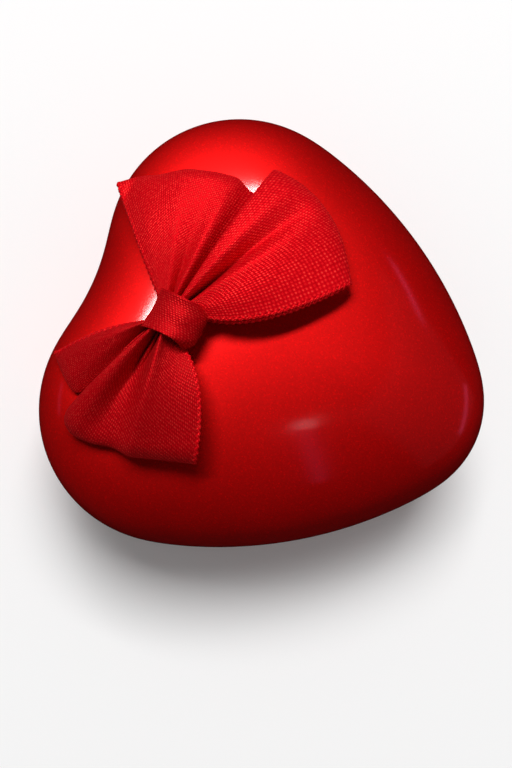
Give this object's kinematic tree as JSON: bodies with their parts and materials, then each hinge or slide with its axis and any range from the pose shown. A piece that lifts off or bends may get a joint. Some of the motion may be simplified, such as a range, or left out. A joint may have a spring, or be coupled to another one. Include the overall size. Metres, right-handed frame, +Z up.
{
  "type": "wind up music box",
  "caption": "Heart shaped musical trinket box: domed hinged lid with a ribbon bow over an inset body with a key wound movement, its cylinder, comb and governor, and a lined well.",
  "frame": {"origin": "centre of the box's footprint on the surface it stands on", "axes": "+Z up, +Y towards the cleft and the hinge, -Y towards the tip, +X across the two lobes"},
  "size_m": [0.0836, 0.0804, 0.0562],
  "materials": {
    "red_enamel": "metallic flake under clear gloss",
    "dark_enamel": "metallic flake under clear gloss",
    "satin_ribbon": "satin weave",
    "velvet": "short pile",
    "steel": "bright",
    "spring_steel": "blued",
    "cast_zinc": "cast, satin",
    "brass": "satin",
    "gilt": "polished",
    "black_plate": "satin",
    "rubber_pad": "matt",
    "clear_cover": "clear plastic",
    "nylon": "moulded",
    "mirror": "polished",
    "foam_tape": "foam"
  },
  "bodies": {
    "case": {"body_shell": "dark_enamel", "base_plate": "black_plate", "base_screws": "steel", "foot_pads": "rubber_pad", "body_hinge_leaf": "gilt", "insert_tray": "velvet", "movement_cover": "clear_cover", "bedplate": "cast_zinc", "movement_screws": "steel", "spring_housing": "cast_zinc", "mainspring": "spring_steel", "bearing_post_left": "steel", "bearing_post_right": "steel", "comb": "steel", "comb_block": "cast_zinc", "comb_screws": "gilt", "governor_frame": "steel", "governor_screw": "steel", "stop_bracket": "cast_zinc", "body_magnet": "steel"},
    "lid": {"lid_shell": "red_enamel", "lid_panel": "velvet", "heart_mirror": "mirror", "lid_hinge_leaf": "gilt", "hinge_pin": "steel", "lid_magnet": "steel", "bow_knot": "satin_ribbon", "bow_loop_left": "satin_ribbon", "bow_loop_right": "satin_ribbon", "bow_tape": "foam_tape"},
    "key": {"winding_key": "gilt", "winding_arbor": "steel"},
    "crown": {"crown_wheel": "brass", "ratchet_click": "spring_steel"},
    "cylinder": {"cylinder_drum": "brass", "cylinder_arbor": "steel", "cylinder_pinion": "brass", "cylinder_wheel": "brass"},
    "governor_wheel": {"worm_wheel": "nylon", "worm_wheel_pinion": "brass", "worm_wheel_arbor": "steel"},
    "air_brake": {"worm_shaft": "steel", "air_brake_fan": "nylon"},
    "stop": {"stop_plunger": "gilt"}
  },
  "joints": [
    {"name": "lid_hinge", "type": "hinge", "parent": "case", "child": "lid", "pos_m": [0, 0.0366, 0.0296], "axis": [-1, 0, 0], "range_deg": [0, 95]},
    {"name": "key_turn", "type": "hinge", "parent": "case", "child": "key", "pos_m": [-0.013, 0.008, 0], "axis": [0, 0, 1], "continuous": true},
    {"name": "crown_turn", "type": "hinge", "parent": "case", "child": "crown", "pos_m": [-0.013, 0.008, 0.0252], "axis": [0, 0, 1], "continuous": true},
    {"name": "cylinder_turn", "type": "hinge", "parent": "case", "child": "cylinder", "pos_m": [0, 0.008, 0.02127], "axis": [1, 0, 0], "continuous": true},
    {"name": "governor_wheel_turn", "type": "hinge", "parent": "case", "child": "governor_wheel", "pos_m": [0, 0.01518, 0.01792], "axis": [1, 0, 0], "continuous": true},
    {"name": "air_brake_turn", "type": "hinge", "parent": "case", "child": "air_brake", "pos_m": [0.0226, 0.0201, 0.02], "axis": [0, 0, 1], "continuous": true},
    {"name": "stop_slide", "type": "slide", "parent": "case", "child": "stop", "axis": [0, 0, 1], "range_m": [0, 0.002]}
  ],
  "couplings": [
    {"joint": "crown_turn", "follows": "key_turn", "ratio": 1},
    {"joint": "cylinder_turn", "follows": "key_turn", "ratio": -3},
    {"joint": "governor_wheel_turn", "follows": "key_turn", "ratio": 9},
    {"joint": "air_brake_turn", "follows": "key_turn", "ratio": -90},
    {"joint": "stop_slide", "follows": "lid_hinge", "m_per_rad": 0.0012}
  ]
}
